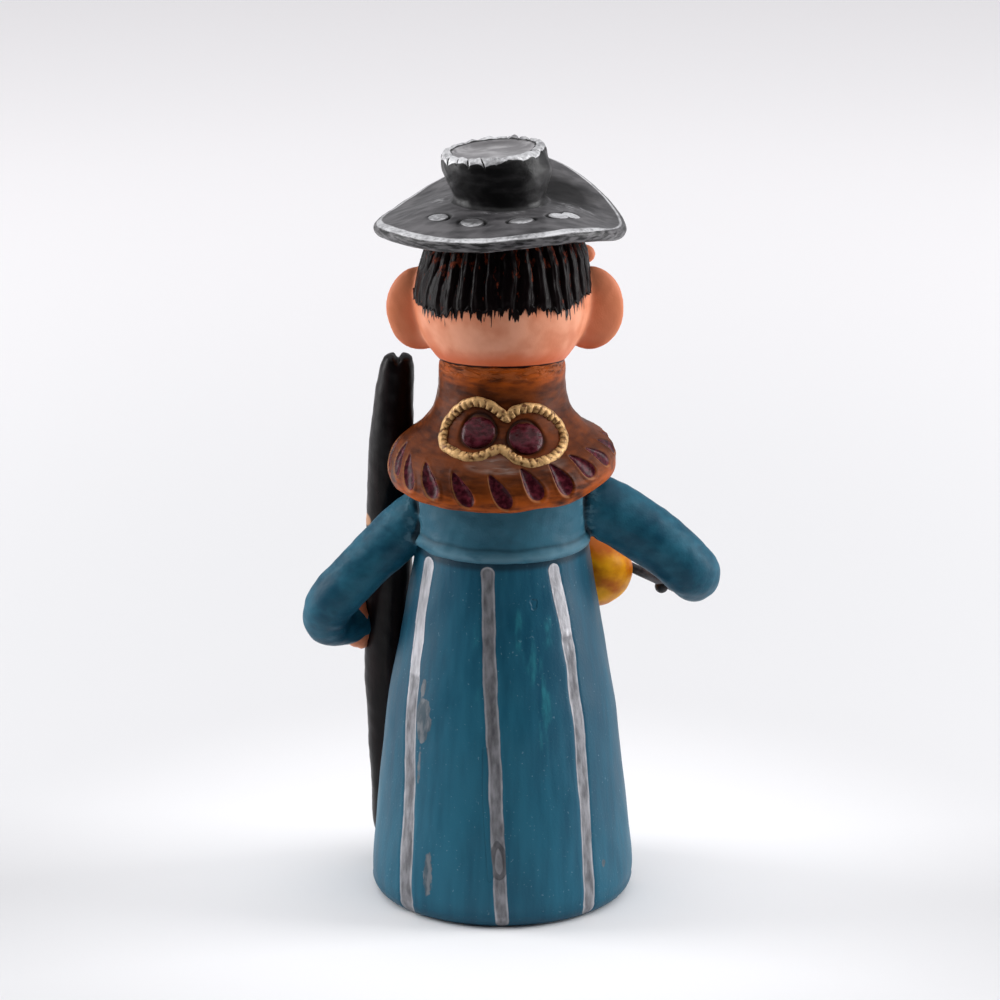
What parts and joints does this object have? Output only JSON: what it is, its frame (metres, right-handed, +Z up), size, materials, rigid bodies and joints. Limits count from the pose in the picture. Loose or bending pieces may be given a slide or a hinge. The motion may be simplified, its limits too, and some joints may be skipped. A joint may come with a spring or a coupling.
{
  "type": "clay statuette",
  "caption": "Painted clay figure of a standing man in a wide hat, shoulder cape and long robe, holding a staff and a gourd on a stick. It stands on its flat underside as an ornament.",
  "frame": {"origin": "centre of the flat underside, where the statuette stands", "axes": "+Z up, the figure faces -Y, its left side is +X"},
  "size_m": [0.1087, 0.0684, 0.1998],
  "materials": {
    "painted_clay": "hand-painted fired clay"
  },
  "bodies": {
    "root": {"clay_figure": "painted_clay"}
  },
  "joints": []
}
